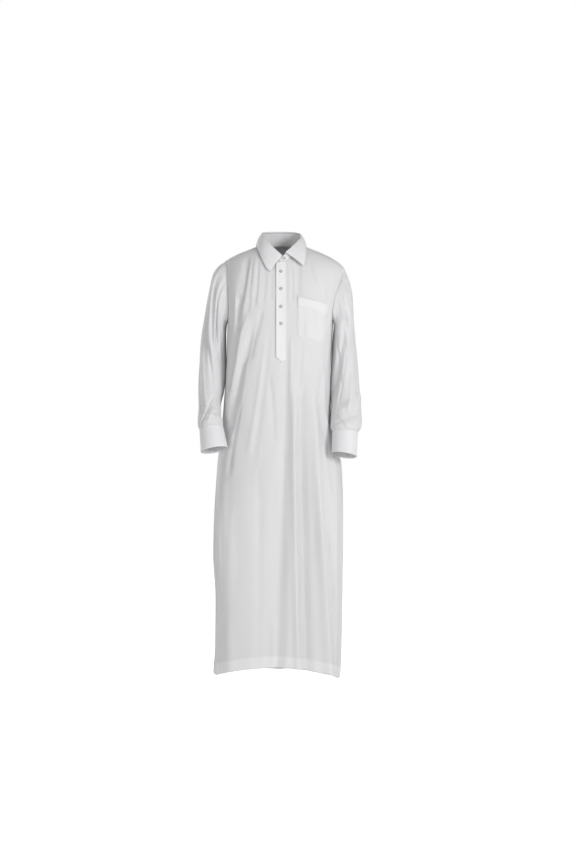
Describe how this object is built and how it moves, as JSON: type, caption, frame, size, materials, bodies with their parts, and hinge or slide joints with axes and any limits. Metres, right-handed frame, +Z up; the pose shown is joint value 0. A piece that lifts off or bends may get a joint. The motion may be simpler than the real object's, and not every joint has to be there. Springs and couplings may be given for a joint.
{
  "type": "kaftan",
  "caption": "Man's ankle-length white robe with turned-down collar, buttoned half placket, chest pocket and cuffed long sleeves, hollow as worn.",
  "frame": {"origin": "midway between the shoulders at the base of the neck, at the height where the shoulder ridges meet the collar", "axes": "+Z up, the front faces -Y, +X is the wearer's left"},
  "size_m": [0.552, 0.3271, 1.5176],
  "materials": {
    "body_cloth": "matt, fine plain weave, slightly sheer, soft drape",
    "band_cloth": "the same cloth doubled and stiffened, edge stitched",
    "button_pearl": "pale grey pearl, soft gloss"
  },
  "bodies": {
    "root": {"front": "body_cloth", "back": "body_cloth", "yoke": "body_cloth", "sleeve_left": "body_cloth", "sleeve_right": "body_cloth", "cuff_left": "band_cloth", "cuff_right": "band_cloth", "collar_stand": "band_cloth", "collar_fall": "band_cloth", "placket_upper": "band_cloth", "placket_under": "band_cloth", "pocket": "body_cloth", "button_collar": "button_pearl", "button_1": "button_pearl", "button_2": "button_pearl", "button_3": "button_pearl", "button_4": "button_pearl", "button_cuff_left": "button_pearl", "button_cuff_right": "button_pearl"}
  },
  "joints": []
}
